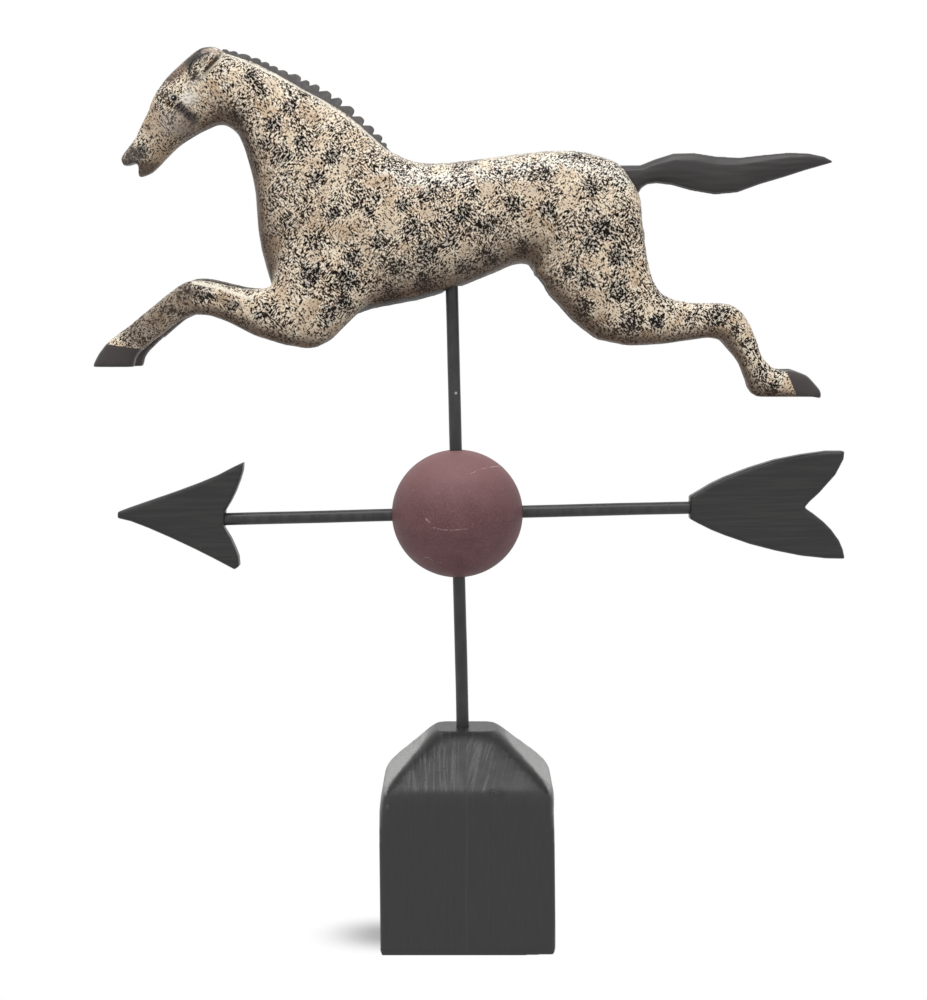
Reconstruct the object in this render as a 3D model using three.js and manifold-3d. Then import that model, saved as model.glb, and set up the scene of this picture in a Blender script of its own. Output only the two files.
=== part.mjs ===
// Carved wooden horse weathervane on a block stand.
// Millimetres, +Z up. The origin is the centre of the block's underside.
// The horse and the arrow point to -X, and a viewer at -Y sees their near side.

import * as THREE from 'three';
import { LoftGeometry } from 'three/addons/geometries/LoftGeometry.js';
import * as BufferGeometryUtils from 'three/addons/utils/BufferGeometryUtils.js';
import Module from 'manifold-3d';

const wasm = await Module();
wasm.setup();

// Stand block, glued up from two boards
const BASE_WIDTH = 86;
const BASE_DEPTH = 86;
const BASE_HEIGHT = 106;
const BASE_SHOULDER_HEIGHT = 78.5;
const BASE_TOP_WIDTH = 30;

// Rods, all of one stock
const ROD_DIAMETER = 6.35;
const LOWER_ROD_SHOWN = 76.5;
const UPPER_ROD_SHOWN = 82;
const SPINDLE_LEAN = THREE.MathUtils.degToRad(1.43);

// Bearing inside the block
const BORE_DEPTH = 76;
const SLEEVE_WALL = 0.6;
const SLEEVE_RECESS = 1;
const THRUST_BALL_DIAMETER = 6;

// Turned ball
const BALL_DIAMETER = 66.8;
const BALL_HEIGHT = 65.1;
const BALL_SOCKET_WALL = 5;

// Arrow
const ARROW_REACH = 118;
const ARROW_BOARD_THICKNESS = 11;
const ARROW_SOCKET_DEPTH = 25;
const ARROW_EDGE_ROUND = 2;
const ARROW_HEAD_LENGTH = 64.4;
const ARROW_HEAD_WIDTH = 55;
const ARROW_TAIL_LENGTH = 79.4;
const ARROW_TAIL_WIDTH = 55.4;

// Horse, carved from one plank
const HORSE_LENGTH = 370;
const HORSE_HEIGHT = 178;
const PLANK_THICKNESS = 38;
const POST_SOCKET_DEPTH = 28;

// Mane strip in its kerf
const MANE_THICKNESS = 3;
const MANE_KERF_DEPTH = 5;
const MANE_TOOTH_HEIGHT = 5.8;

// Tail and its peg
const TAIL_LENGTH = 104;
const TAIL_DEPTH = 22;
const TAIL_THICKNESS = 12;
const TAIL_SEAT_LENGTH = 20;
const TAIL_PEG_DIAMETER = 5;
const TAIL_PEG_LENGTH = 24;
const TAIL_PEG_TILT = THREE.MathUtils.degToRad(12);

// Eye tacks
const EYE_DIAMETER = 3;
const EYE_DOME_HEIGHT = 1.2;
const EYE_SHANK_DIAMETER = 0.9;
const EYE_SHANK_LENGTH = 6;

// Clearances and the overrun of every cut
const FIT_GAP = 0.3;
const OVERRUN = 5;

// Counts that set how fine the faceted solids are
const ROD_SIDES = 20;
const BALL_SIDES = 32;
const BALL_RINGS = 16;
const TRUNK_SIDES = 16;
const TRUNK_STEPS = 2;
const LEG_SIDES = 12;
const LEG_STEPS = 1;
const TAIL_SIDES = 12;
const EAR_SIDES = 8;
const EYE_SIDES = 12;
const DOME_RINGS = 2;
const MANE_STEPS = 20;
const EDGE_STEPS = 2;

const rodRadius = ROD_DIAMETER / 2;
const upright = new THREE.Vector3(0, 0, 1);

// Horse outline, in shares of its length and height from where the post enters the belly.
// Each row is a pair of opposite edge points (x, z, x, z), then the half thickness
// in shares of the plank. The first pair is at the rump and the last at the lips.
const trunkShares = [
  [0.258, 0.185, 0.264, 0.128, 0.16],
  [0.257, 0.262, 0.263, 0.074, 0.36],
  [0.236, 0.343, 0.236, 0.020, 0.46],
  [0.204, 0.373, 0.193, 0.000, 0.50],
  [0.164, 0.391, 0.149, 0.012, 0.50],
  [0.112, 0.388, 0.104, 0.066, 0.49],
  [0.059, 0.374, 0.059, 0.046, 0.48],
  [-0.002, 0.359, 0.009, 0.003, 0.49],
  [-0.047, 0.359, -0.046, -0.032, 0.50],
  [-0.083, 0.389, -0.110, -0.057, 0.50],
  [-0.111, 0.430, -0.175, -0.097, 0.49],
  [-0.142, 0.483, -0.231, -0.052, 0.47],
  [-0.174, 0.535, -0.253, 0.050, 0.44],
  [-0.205, 0.575, -0.265, 0.166, 0.405],
  [-0.234, 0.609, -0.268, 0.268, 0.375],
  [-0.262, 0.638, -0.277, 0.355, 0.36],
  [-0.288, 0.659, -0.291, 0.437, 0.35],
  [-0.308, 0.672, -0.303, 0.460, 0.345],
  [-0.324, 0.689, -0.313, 0.468, 0.34],
  [-0.343, 0.687, -0.321, 0.467, 0.335],
  [-0.360, 0.662, -0.329, 0.461, 0.335],
  [-0.376, 0.632, -0.337, 0.453, 0.335],
  [-0.392, 0.599, -0.347, 0.443, 0.33],
  [-0.405, 0.558, -0.359, 0.428, 0.31],
  [-0.415, 0.511, -0.373, 0.409, 0.27],
  [-0.425, 0.470, -0.387, 0.382, 0.235],
  [-0.434, 0.430, -0.401, 0.351, 0.205],
  [-0.446, 0.398, -0.413, 0.327, 0.18],
  [-0.453, 0.378, -0.422, 0.320, 0.16],
];

// Hind leg from the haunch to the hoof: lower edge first, then upper edge.
const hindLegShares = [
  [0.149, 0.189, 0.246, 0.264, 0.19],
  [0.123, 0.109, 0.258, 0.209, 0.21],
  [0.116, 0.040, 0.266, 0.140, 0.215],
  [0.135, -0.023, 0.271, 0.072, 0.215],
  [0.164, -0.090, 0.276, 0.023, 0.21],
  [0.200, -0.145, 0.286, -0.016, 0.205],
  [0.240, -0.162, 0.303, -0.033, 0.20],
  [0.284, -0.158, 0.328, -0.042, 0.195],
  [0.323, -0.146, 0.357, -0.044, 0.19],
  [0.349, -0.140, 0.379, -0.048, 0.185],
  [0.368, -0.149, 0.394, -0.069, 0.18],
  [0.383, -0.179, 0.406, -0.108, 0.175],
  [0.396, -0.212, 0.415, -0.155, 0.17],
  [0.404, -0.252, 0.423, -0.197, 0.17],
  [0.410, -0.290, 0.440, -0.231, 0.175],
  [0.420, -0.318, 0.463, -0.2325, 0.185],
  [0.454, -0.325, 0.484, -0.252, 0.19],
  [0.486, -0.325, 0.502, -0.288, 0.18],
];

// Foreleg from the shoulder to the hoof: upper edge first, then lower edge.
const foreLegShares = [
  [-0.209, 0.149, -0.102, -0.011, 0.20],
  [-0.236, 0.074, -0.124, -0.060, 0.21],
  [-0.247, 0.002, -0.144, -0.099, 0.215],
  [-0.267, -0.003, -0.166, -0.146, 0.21],
  [-0.285, 0.000, -0.191, -0.172, 0.205],
  [-0.304, 0.007, -0.227, -0.160, 0.20],
  [-0.325, 0.017, -0.267, -0.134, 0.195],
  [-0.343, 0.023, -0.303, -0.095, 0.19],
  [-0.357, 0.021, -0.328, -0.076, 0.185],
  [-0.370, 0.007, -0.350, -0.073, 0.18],
  [-0.389, -0.023, -0.369, -0.089, 0.175],
  [-0.410, -0.059, -0.390, -0.123, 0.17],
  [-0.431, -0.095, -0.411, -0.159, 0.17],
  [-0.453, -0.127, -0.424, -0.181, 0.175],
  [-0.469, -0.153, -0.430, -0.201, 0.185],
  [-0.481, -0.185, -0.431, -0.231, 0.19],
  [-0.489, -0.218, -0.438, -0.242, 0.19],
];

// Ear laid back along the head: rear edge, front edge, half thickness, centre's place across.
const earShares = [
  [-0.338, 0.595, -0.357, 0.601, 0.045, 0.31],
  [-0.330, 0.612, -0.357, 0.625, 0.055, 0.315],
  [-0.321, 0.632, -0.351, 0.648, 0.055, 0.30],
  [-0.314, 0.652, -0.338, 0.668, 0.05, 0.255],
  [-0.313, 0.668, -0.322, 0.678, 0.035, 0.205],
];

// Mouth, cut in from the lips: the corner of the mouth, then a point past each lip.
const mouthShares = [
  [-0.427, 0.362],
  [-0.460, 0.341],
  [-0.435, 0.306],
];

// Soles and the tail's joint, in shares of the horse's length and height
const foreSoleShare = -0.2225;
const hindSoleShare = -0.3065;
const tailJointShares = [0.2425, 0.310];
const eyeShares = [-0.378, 0.541];
const eyeSeatShare = 0.325;

// How full the rounded sections are: 2 is an ellipse, more is squarer
const trunkFullness = 2.4;
const legFullness = 2.7;
const tailFullness = 2.2;

// Depth of a rounded end, in shares of its last section's half width
const endDomeShare = 0.45;

// Largest rounded edge, in shares of an outline's shortest side
const edgeRoomShare = 0.6;

// Mane, in shares of the way along the trunk's upper edge, from withers to poll
const maneRearShare = 9 / 28;
const maneFrontShare = 17.4 / 28;

// Hand-cut teeth: how far along the mane each starts, and its height as a share
const toothShares = [
  [0.036, 0.42],
  [0.074, 0.70],
  [0.132, 0.85],
  [0.201, 0.90],
  [0.269, 1.03],
  [0.347, 0.99],
  [0.407, 0.87],
  [0.476, 0.84],
  [0.531, 0.72],
  [0.580, 0.72],
  [0.650, 0.50],
  [0.705, 0.44],
  [0.753, 0.43],
  [0.798, 0.42],
  [0.852, 0.38],
  [0.920, 0.34],
  [0.967, 0.24],
];

// A tooth's rounded form: the way along it towards the head, and the share of its height
const toothFormShares = [
  [0.00, 0.40],
  [0.02, 0.72],
  [0.12, 0.94],
  [0.30, 1.00],
  [0.50, 0.97],
  [0.75, 0.70],
  [0.97, 0.44],
];

// Tail outline, in shares of its length and depth from the middle of its joint.
// Lower edge first, then upper edge, then the half thickness in shares of the tail's.
const tailShares = [
  [0.046, -0.334, -0.046, 0.334, 0.5],
  [0.062, -0.200, 0.010, 0.336, 0.5],
  [0.090, -0.110, 0.055, 0.336, 0.5],
  [0.135, -0.084, 0.127, 0.473, 0.5],
  [0.210, -0.128, 0.219, 0.610, 0.48],
  [0.306, -0.255, 0.320, 0.620, 0.46],
  [0.420, -0.347, 0.427, 0.540, 0.44],
  [0.530, -0.300, 0.541, 0.512, 0.42],
  [0.640, -0.111, 0.650, 0.570, 0.38],
  [0.765, 0.065, 0.774, 0.626, 0.33],
  [0.866, 0.220, 0.876, 0.612, 0.26],
  [0.935, 0.314, 0.955, 0.533, 0.19],
  [0.990, 0.390, 0.995, 0.430, 0.10],
];

// Arrowhead outline, in shares of its length and width from where the shaft enters
const arrowHeadShares = [
  [-0.852, 0.014],
  [-0.852, 0.070],
  [-0.761, 0.110],
  [-0.549, 0.196],
  [-0.398, 0.257],
  [-0.216, 0.336],
  [-0.064, 0.410],
  [0.057, 0.484],
  [0.143, 0.531],
  [0.140, 0.457],
  [0.118, 0.368],
  [0.080, 0.253],
  [0.042, 0.164],
  [0.000, 0.084],
  [-0.011, -0.074],
  [0.042, -0.172],
  [0.080, -0.270],
  [0.103, -0.341],
  [0.110, -0.430],
  [0.072, -0.463],
  [-0.094, -0.360],
  [-0.246, -0.270],
  [-0.428, -0.170],
  [-0.610, -0.077],
  [-0.746, -0.016],
];

// Arrow tail outline, in shares of its length and width from where the shaft enters
const arrowTailShares = [
  [0.003, 0.106],
  [0.060, 0.153],
  [0.141, 0.224],
  [0.224, 0.281],
  [0.387, 0.371],
  [0.551, 0.444],
  [0.715, 0.491],
  [0.879, 0.524],
  [0.992, 0.524],
  [0.989, 0.453],
  [0.936, 0.307],
  [0.830, 0.136],
  [0.772, 0.060],
  [0.739, 0.005],
  [0.797, -0.052],
  [0.863, -0.128],
  [0.911, -0.199],
  [0.961, -0.298],
  [0.985, -0.380],
  [0.998, -0.467],
  [0.879, -0.464],
  [0.715, -0.439],
  [0.551, -0.392],
  [0.387, -0.331],
  [0.224, -0.250],
  [0.141, -0.202],
  [0.060, -0.144],
  [0.003, -0.100],
];

// Turns a closed geometry into a solid that can be joined and cut
function solid(geometry) {
  const bare = new THREE.BufferGeometry();
  bare.setAttribute('position', geometry.attributes.position);
  bare.setIndex(geometry.index);
  const merged = BufferGeometryUtils.mergeVertices(bare);
  const corners = merged.index.array;
  const triangles = [];
  for (let i = 0; i < corners.length; i += 3) {
    const [a, b, c] = [corners[i], corners[i + 1], corners[i + 2]];
    if (a !== b && b !== c && c !== a) triangles.push(a, b, c);
  }
  const mesh = new wasm.Mesh({
    numProp: 3,
    vertProperties: new Float32Array(merged.attributes.position.array),
    triVerts: new Uint32Array(triangles),
  });
  return new wasm.Manifold(mesh);
}

// Turns a solid back into a named mesh
function piece(name, body, material) {
  const cut = body.getMesh();
  const geometry = new THREE.BufferGeometry();
  geometry.setAttribute('position', new THREE.BufferAttribute(cut.vertProperties, cut.numProp));
  geometry.setIndex(new THREE.BufferAttribute(cut.triVerts, 1));
  geometry.computeVertexNormals();
  const mesh = new THREE.Mesh(geometry, material);
  mesh.name = name;
  return mesh;
}

// A round bar between two points
function bar(radius, from, to, sides) {
  const length = from.distanceTo(to);
  const geometry = new THREE.CylinderGeometry(radius, radius, length, sides);
  geometry.rotateX(Math.PI / 2);
  geometry.translate(0, 0, length / 2);
  const direction = to.clone().sub(from).normalize();
  geometry.applyQuaternion(new THREE.Quaternion().setFromUnitVectors(upright, direction));
  geometry.translate(from.x, from.y, from.z);
  return solid(geometry);
}

// An upright bar on the rods' own axis
function rodBar(radius, bottom, top) {
  return bar(radius, new THREE.Vector3(0, 0, bottom), new THREE.Vector3(0, 0, top), ROD_SIDES);
}

// A box given by its low and high corners
function block(low, high) {
  const size = high.clone().sub(low);
  const middle = low.clone().add(high).divideScalar(2);
  const geometry = new THREE.BoxGeometry(size.x, size.y, size.z);
  geometry.translate(middle.x, middle.y, middle.z);
  return solid(geometry);
}

// A plate in the XZ plane, centred on y = 0, with its outline given by corner points.
// Its edges are rounded no more than the outline's shortest side has room for.
function plate(outline, thickness, wantedRound) {
  const sides = outline.map((point, i) => point.distanceTo(outline[(i + 1) % outline.length]));
  const edgeRound = Math.min(wantedRound, edgeRoomShare * Math.min(...sides));
  const depth = thickness - 2 * edgeRound;
  const geometry = new THREE.ExtrudeGeometry(new THREE.Shape(outline), {
    depth,
    bevelEnabled: edgeRound > 0,
    bevelThickness: edgeRound,
    bevelSize: edgeRound,
    bevelOffset: -edgeRound,
    bevelSegments: EDGE_STEPS,
  });
  geometry.rotateX(Math.PI / 2);
  geometry.translate(0, depth / 2, 0);
  return solid(geometry);
}

// Rounded sections swept through pairs of opposite edge points
function limb(shares, length, height, thickness, options) {
  const { sides, steps, fullness, across, domeStart, domeEnd } = options;
  const first = [];
  const second = [];
  const flank = [];
  for (const [firstX, firstZ, secondX, secondZ, half, centre = 0] of shares) {
    first.push(new THREE.Vector3(firstX * length, 0, firstZ * height));
    second.push(new THREE.Vector3(secondX * length, 0, secondZ * height));
    flank.push(new THREE.Vector3(half * thickness, across(half, centre) * thickness, 0));
  }
  const firstEdge = new THREE.CatmullRomCurve3(first);
  const secondEdge = new THREE.CatmullRomCurve3(second);
  const flankCurve = new THREE.CatmullRomCurve3(flank);
  const count = (shares.length - 1) * steps;
  const sections = [];

  function section(middle, reach, half, centre) {
    const points = [];
    for (let i = 0; i < sides; i += 1) {
      const angle = (i / sides) * Math.PI * 2;
      const up = Math.sign(Math.sin(angle)) * Math.abs(Math.sin(angle)) ** (2 / fullness);
      const out = Math.sign(Math.cos(angle)) * Math.abs(Math.cos(angle)) ** (2 / fullness);
      const point = middle.clone().addScaledVector(reach, up);
      point.y = centre - out * half;
      points.push(point);
    }
    return points;
  }

  function dome(at, towards) {
    const middle = firstEdge.getPoint(at).add(secondEdge.getPoint(at)).divideScalar(2);
    const reach = firstEdge.getPoint(at).sub(middle);
    const flankHere = flankCurve.getPoint(at);
    const ahead = new THREE.Vector3(-reach.z, 0, reach.x).multiplyScalar(towards * endDomeShare);
    const rings = [];
    for (let i = 1; i <= DOME_RINGS; i += 1) {
      const angle = (i / (DOME_RINGS + 1)) * Math.PI / 2;
      const shrink = Math.cos(angle);
      const moved = middle.clone().addScaledVector(ahead, Math.sin(angle));
      rings.push(section(moved, reach.clone().multiplyScalar(shrink), flankHere.x * shrink, flankHere.y));
    }
    return rings;
  }

  if (domeStart) sections.push(...dome(0, -1).reverse());
  for (let i = 0; i <= count; i += 1) {
    const at = i / count;
    const middle = firstEdge.getPoint(at).add(secondEdge.getPoint(at)).divideScalar(2);
    const reach = firstEdge.getPoint(at).sub(middle);
    const flankHere = flankCurve.getPoint(at);
    sections.push(section(middle, reach, flankHere.x, flankHere.y));
  }
  if (domeEnd) sections.push(...dome(1, 1));
  const geometry = new LoftGeometry(sections, { capStart: true, capEnd: true });
  return { body: solid(geometry), firstEdge };
}

// The same solid on the other side of the plank
function mirrored(body) {
  return body.mirror([0, 1, 0]);
}

// Paints, woods and metals
function finish(color, roughness, metalness) {
  return new THREE.MeshStandardMaterial({ color, roughness, metalness });
}
const blackPaint = finish(0x3e3e3e, 0.6, 0);
const redPaint = finish(0x734b4e, 0.75, 0);
const dapplePaint = finish(0xcdb79c, 0.5, 0);
const maneBlack = finish(0x413e3e, 0.65, 0);
const eyeBlack = finish(0x0c0c0c, 0.1, 0);
const brass = finish(0xb58d3d, 0.35, 1);
const steel = finish(0x8d9093, 0.3, 1);
const bareWood = finish(0xb98f5e, 0.7, 0);

// Places up the leaned rod's axis, from the floor of its bore in the block
const baseTop = BORE_DEPTH / Math.cos(SPINDLE_LEAN);
const spindleFoot = FIT_GAP + THRUST_BALL_DIAMETER + FIT_GAP;
const ballBottom = baseTop + LOWER_ROD_SHOWN;
const ballMiddle = ballBottom + BALL_HEIGHT / 2;
const ballTop = ballBottom + BALL_HEIGHT;
const belly = ballTop + UPPER_ROD_SHOWN;
const boreFloor = BASE_HEIGHT - BORE_DEPTH;

// Moves a level solid into the leaned frame of the rods
function levelled(body, x, z) {
  const lean = THREE.MathUtils.radToDeg(SPINDLE_LEAN);
  return body.rotate([0, lean, 0]).translate([x, 0, z]);
}

// The two boards of the stand block, planed to a hipped top and bored together
const sleeveRadius = rodRadius + FIT_GAP + SLEEVE_WALL;
function baseBlock() {
  function profile(halfWidth) {
    const halfTop = BASE_TOP_WIDTH / 2;
    return [
      new THREE.Vector2(-halfWidth, 0),
      new THREE.Vector2(halfWidth, 0),
      new THREE.Vector2(halfWidth, BASE_SHOULDER_HEIGHT),
      new THREE.Vector2(halfTop, BASE_HEIGHT),
      new THREE.Vector2(-halfTop, BASE_HEIGHT),
      new THREE.Vector2(-halfWidth, BASE_SHOULDER_HEIGHT),
    ];
  }
  const front = plate(profile(BASE_WIDTH / 2), BASE_DEPTH, 0);
  const side = plate(profile(BASE_DEPTH / 2), BASE_WIDTH, 0).rotate([0, 0, 90]);
  const lean = THREE.MathUtils.radToDeg(SPINDLE_LEAN);
  const bore = rodBar(sleeveRadius + FIT_GAP, 0, baseTop + OVERRUN)
    .rotate([0, -lean, 0])
    .translate([0, 0, boreFloor]);
  return front.intersect(side).subtract(bore);
}
const stand = baseBlock();
const standSpan = new THREE.Vector3(BASE_WIDTH, BASE_DEPTH, BASE_HEIGHT).multiplyScalar(2);
const leftSpace = block(standSpan.clone().negate(), new THREE.Vector3(0, standSpan.y, standSpan.z));
const baseLeft = piece('base_block_left', stand.intersect(leftSpace), blackPaint);
const baseRight = piece('base_block_right', stand.subtract(leftSpace), blackPaint);

// Brass sleeve and thrust ball in the bore
const sleeveTop = baseTop - SLEEVE_RECESS;
const sleeveBody = rodBar(sleeveRadius, FIT_GAP, sleeveTop)
  .subtract(rodBar(rodRadius + FIT_GAP, -OVERRUN, sleeveTop + OVERRUN));
const sleeve = piece('spindle_sleeve', sleeveBody, brass);
const thrustGeometry = new THREE.SphereGeometry(THRUST_BALL_DIAMETER / 2, EYE_SIDES, EYE_SIDES / 2);
thrustGeometry.rotateX(Math.PI / 2);
thrustGeometry.translate(0, 0, FIT_GAP + THRUST_BALL_DIAMETER / 2);
const thrustBall = piece('thrust_ball', solid(thrustGeometry), steel);

// Rods: the spindle under the ball, the post over it and the arrow's shaft through it
const shaftBoreRadius = rodRadius + FIT_GAP;
const ballSocketDepth = BALL_HEIGHT / 2 - shaftBoreRadius - BALL_SOCKET_WALL;
const spindleTop = ballBottom + ballSocketDepth - FIT_GAP;
const postFoot = ballTop - ballSocketDepth + FIT_GAP;
const postTop = belly + POST_SOCKET_DEPTH - FIT_GAP;
const shaftReach = ARROW_REACH + ARROW_SOCKET_DEPTH - FIT_GAP;
function arrowBar(radius, reach) {
  const from = new THREE.Vector3(-reach, 0, ballMiddle);
  const to = new THREE.Vector3(reach, 0, ballMiddle);
  return bar(radius, from, to, ROD_SIDES);
}
const spindle = piece('spindle', rodBar(rodRadius, spindleFoot, spindleTop), blackPaint);
const post = piece('horse_post', rodBar(rodRadius, postFoot, postTop), blackPaint);
const arrowShaft = piece('arrow_shaft', arrowBar(rodRadius, shaftReach), blackPaint);

// Turned ball, a little flat, with a socket for each upright rod and a bore for the shaft
function turnedBall() {
  const profile = [];
  for (let i = 0; i <= BALL_RINGS; i += 1) {
    const angle = (i / BALL_RINGS - 1 / 2) * Math.PI;
    const radius = i % BALL_RINGS === 0 ? 0 : Math.cos(angle) * BALL_DIAMETER / 2;
    profile.push(new THREE.Vector2(radius, Math.sin(angle) * BALL_HEIGHT / 2));
  }
  const geometry = new THREE.LatheGeometry(profile, BALL_SIDES);
  geometry.rotateX(Math.PI / 2);
  geometry.translate(0, 0, ballMiddle);
  const socketRadius = rodRadius + FIT_GAP;
  return solid(geometry)
    .subtract(rodBar(socketRadius, ballBottom - OVERRUN, ballBottom + ballSocketDepth))
    .subtract(rodBar(socketRadius, ballTop - ballSocketDepth, ballTop + OVERRUN))
    .subtract(arrowBar(shaftBoreRadius, BALL_DIAMETER));
}
const ball = piece('ball', turnedBall(), redPaint);

// Arrow boards, sawn to outline with rounded edges and bored for the shaft
function arrowBoard(shares, length, width, side) {
  const outline = shares.map(([x, z]) => new THREE.Vector2(x * length, z * width));
  const board = plate(outline, ARROW_BOARD_THICKNESS, ARROW_EDGE_ROUND);
  const bore = arrowBar(shaftBoreRadius, ARROW_REACH + ARROW_SOCKET_DEPTH);
  return levelled(board, side * ARROW_REACH, ballMiddle).subtract(bore);
}
const headBody = arrowBoard(arrowHeadShares, ARROW_HEAD_LENGTH, ARROW_HEAD_WIDTH, -1);
const tailBody = arrowBoard(arrowTailShares, ARROW_TAIL_LENGTH, ARROW_TAIL_WIDTH, 1);
const arrowHead = piece('arrow_head', headBody, blackPaint);
const arrowTail = piece('arrow_tail', tailBody, blackPaint);

// Horse: trunk, neck and head in one sweep, with four legs and two laid-back ears
const centred = () => 0;
const flushWithPlank = (half) => -(1 / 2 - half);
const statedAcross = (half, centre) => -centre;
const horsePoint = ([x, z]) => new THREE.Vector3(x * HORSE_LENGTH, 0, z * HORSE_HEIGHT);
const trunk = limb(trunkShares, HORSE_LENGTH, HORSE_HEIGHT, PLANK_THICKNESS, {
  sides: TRUNK_SIDES,
  steps: TRUNK_STEPS,
  fullness: trunkFullness,
  across: centred,
  domeStart: true,
  domeEnd: true,
});
function leg(shares) {
  return limb(shares, HORSE_LENGTH, HORSE_HEIGHT, PLANK_THICKNESS, {
    sides: LEG_SIDES,
    steps: LEG_STEPS,
    fullness: legFullness,
    across: flushWithPlank,
    domeStart: true,
    domeEnd: true,
  }).body;
}
const ear = limb(earShares, HORSE_LENGTH, HORSE_HEIGHT, PLANK_THICKNESS, {
  sides: EAR_SIDES,
  steps: LEG_STEPS,
  fullness: tailFullness,
  across: statedAcross,
  domeStart: true,
  domeEnd: true,
}).body;

// Flat soles, cut level
function belowSole(share, fromX, toX) {
  const across = PLANK_THICKNESS;
  const low = new THREE.Vector3(fromX, -across, -HORSE_HEIGHT);
  const high = new THREE.Vector3(toX, across, share * HORSE_HEIGHT);
  return block(low, high);
}
const foreCut = belowSole(foreSoleShare, -HORSE_LENGTH, 0);
const hindCut = belowSole(hindSoleShare, 0, HORSE_LENGTH);

// Mouth, sawn across the lips
const mouthOutline = mouthShares.map(([x, z]) => new THREE.Vector2(x * HORSE_LENGTH, z * HORSE_HEIGHT));
const mouthCut = plate(mouthOutline, PLANK_THICKNESS, 0);

// The tail's joint: a flat seat on the rump, square to the line from rump to tail
const tailJoint = horsePoint(tailJointShares);
const seatLow = new THREE.Vector3(tailShares[0][0] * TAIL_LENGTH, 0, tailShares[0][1] * TAIL_DEPTH);
const seatAngle = Math.atan2(seatLow.x, -seatLow.z);
const seatNormal = new THREE.Vector3(Math.cos(seatAngle), 0, Math.sin(seatAngle));
const seatHalf = TAIL_SEAT_LENGTH / 2;
const seatCut = block(
  new THREE.Vector3(0, -TAIL_THICKNESS, -seatHalf),
  new THREE.Vector3(TAIL_SEAT_LENGTH, TAIL_THICKNESS, seatHalf),
)
  .rotate([0, -THREE.MathUtils.radToDeg(seatAngle), 0])
  .translate(tailJoint.toArray());
const pegDirection = new THREE.Vector3(Math.cos(TAIL_PEG_TILT), 0, Math.sin(TAIL_PEG_TILT));
function pegBar(radius, gap) {
  const reach = TAIL_PEG_LENGTH / 2 + gap;
  const from = tailJoint.clone().addScaledVector(pegDirection, -reach);
  const to = tailJoint.clone().addScaledVector(pegDirection, reach);
  return bar(radius, from, to, EYE_SIDES);
}
const pegRadius = TAIL_PEG_DIAMETER / 2;
const pegHole = pegBar(pegRadius + FIT_GAP, FIT_GAP);

// Mane: a thin strip with rounded teeth, let into a kerf along the crest
const crestPoints = [];
for (let i = 0; i <= MANE_STEPS; i += 1) {
  const at = THREE.MathUtils.lerp(maneRearShare, maneFrontShare, i / MANE_STEPS);
  crestPoints.push(trunk.firstEdge.getPoint(at));
}
const crestCurve = new THREE.CatmullRomCurve3(crestPoints);
function crest(at, lift) {
  const place = crestCurve.getPointAt(at);
  const along = crestCurve.getTangentAt(at);
  return new THREE.Vector2(place.x + along.z * lift, place.z - along.x * lift);
}
function crestLine(lift) {
  const points = [];
  for (let i = 0; i <= MANE_STEPS; i += 1) points.push(crest(i / MANE_STEPS, lift));
  return points;
}
function maneTeeth() {
  const points = [crest(0, 0)];
  const ends = [...toothShares.slice(1).map(([start]) => start), 1];
  toothShares.forEach(([start, height], i) => {
    for (const [way, share] of toothFormShares) {
      const at = THREE.MathUtils.lerp(start, ends[i], way);
      points.push(crest(at, height * share * MANE_TOOTH_HEIGHT));
    }
  });
  points.push(crest(1, 0));
  return points;
}
const kerfOutline = [...crestLine(OVERRUN).reverse(), ...crestLine(-MANE_KERF_DEPTH)];
const kerf = plate(kerfOutline, MANE_THICKNESS + 2 * FIT_GAP, 0);
const maneOutline = [...maneTeeth().reverse(), ...crestLine(-(MANE_KERF_DEPTH - FIT_GAP))];
const maneBody = plate(maneOutline, MANE_THICKNESS, 0);

// Eye tacks: a domed head on a shank, each in its own drilled seat
const eyePlace = horsePoint(eyeShares);
const eyeSeat = eyeSeatShare * PLANK_THICKNESS;
function eyeTack() {
  const shank = EYE_SHANK_DIAMETER / 2;
  const profile = [
    new THREE.Vector2(0, -EYE_SHANK_LENGTH),
    new THREE.Vector2(shank, -EYE_SHANK_LENGTH),
    new THREE.Vector2(shank, 0),
  ];
  for (let i = 0; i <= EDGE_STEPS; i += 1) {
    const angle = (i / EDGE_STEPS) * Math.PI / 2;
    const radius = i === EDGE_STEPS ? 0 : Math.cos(angle) * EYE_DIAMETER / 2;
    profile.push(new THREE.Vector2(radius, Math.sin(angle) * EYE_DOME_HEIGHT));
  }
  const geometry = new THREE.LatheGeometry(profile, EYE_SIDES);
  geometry.rotateX(Math.PI);
  geometry.translate(eyePlace.x, -eyeSeat, eyePlace.z);
  return solid(geometry);
}
function eyeBar(radius, depth, out) {
  const from = new THREE.Vector3(eyePlace.x, -(eyeSeat - depth), eyePlace.z);
  const to = new THREE.Vector3(eyePlace.x, -(eyeSeat + out), eyePlace.z);
  return bar(radius, from, to, EYE_SIDES);
}
const eyeHole = eyeBar(EYE_DIAMETER / 2 + FIT_GAP, FIT_GAP, OVERRUN)
  .add(eyeBar(EYE_SHANK_DIAMETER / 2 + FIT_GAP, EYE_SHANK_LENGTH + FIT_GAP, 0));
const nearEyeBody = eyeTack();

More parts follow.
